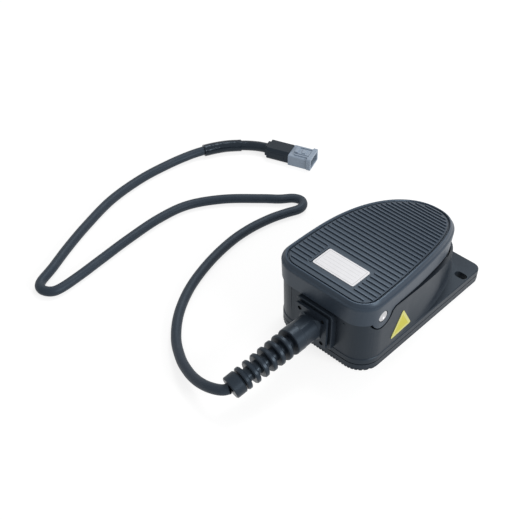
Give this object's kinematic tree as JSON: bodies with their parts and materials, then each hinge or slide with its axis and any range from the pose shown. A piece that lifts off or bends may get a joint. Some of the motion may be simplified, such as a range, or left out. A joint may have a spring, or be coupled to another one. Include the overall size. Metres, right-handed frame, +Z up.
{
  "type": "industrial foot switch",
  "caption": "Foot switch with a hinged ribbed pedal on a slotted base, a ringed strain relief and a lead ending in a latching connector.",
  "frame": {"origin": "centre of the base's footprint at floor level, the lead and its connector left out", "axes": "+X across the width, +Y from the cable end to the toe, +Z up"},
  "size_m": [0.2512, 0.2449, 0.0571],
  "materials": {
    "satin_black_plastic": "fine satin texture, slightly bluish black",
    "soft_black_plastic": "smooth semi-matt elastomer",
    "gasket_rubber": "matt rubber",
    "zinc_steel": "zinc plated",
    "black_steel": "blackened",
    "bright_steel": "ground and polished",
    "spring_steel": "drawn wire",
    "bearing_plastic": "natural, slightly waxy",
    "grey_plastic": "fine matt",
    "red_plastic": "moulded, slightly glossy",
    "brass": "plated sheet",
    "cable_jacket": "matt flexible jacket",
    "heat_shrink_tube": "glossy shrunk tube with soft folds",
    "wire_insulation": "coloured insulation",
    "yellow_film": "printed film, plain",
    "white_film": "plain white film",
    "gloss_black_plastic": "moulded, slightly glossy",
    "light_grey_plastic": "fine matt moulded"
  },
  "bodies": {
    "base": {"housing": "satin_black_plastic", "bottom_cover": "satin_black_plastic", "cover_gasket": "gasket_rubber", "rubber_mat": "gasket_rubber", "cover_screws": "zinc_steel", "gland_gasket": "gasket_rubber", "strain_relief": "soft_black_plastic", "gland_screws": "black_steel", "pin_bushes": "bearing_plastic", "return_spring": "spring_steel", "plunger_guide": "bearing_plastic", "switch_case": "grey_plastic", "switch_cover": "red_plastic", "switch_terminals": "brass", "switch_bracket": "zinc_steel", "switch_screws": "zinc_steel", "bracket_screws": "zinc_steel", "inner_cable": "cable_jacket", "cable_clamp": "grey_plastic", "clamp_screws": "zinc_steel", "inner_wires": "wire_insulation", "triangle_decal": "yellow_film", "cable": "cable_jacket", "heat_shrink": "heat_shrink_tube", "lead_sleeve": "heat_shrink_tube", "connector_boot": "gloss_black_plastic", "connector_housing": "light_grey_plastic", "connector_latch": "light_grey_plastic", "connector_contacts": "brass"},
    "pedal_lever": {"pedal": "satin_black_plastic", "label": "white_film", "hinge_pin": "bright_steel", "pin_clips": "zinc_steel", "actuator_screw": "zinc_steel", "lock_nut": "zinc_steel", "stop_pads": "gasket_rubber"},
    "switch_plunger": {"plunger": "bearing_plastic"}
  },
  "joints": [
    {"name": "pedal_hinge", "type": "hinge", "parent": "base", "child": "pedal_lever", "pos_m": [0, -0.045, 0.043], "axis": [-1, 0, 0], "range_deg": [0, 2.4], "stiffness_Nm_per_rad": 20, "springref_deg": -1.72, "deforming": ["return_spring"]},
    {"name": "plunger_slide", "type": "slide", "parent": "base", "child": "switch_plunger", "axis": [0, 0, -1], "range_m": [0, 0.00132]}
  ],
  "couplings": [
    {"joint": "plunger_slide", "follows": "pedal_hinge", "m_per_rad": 0.0313}
  ]
}
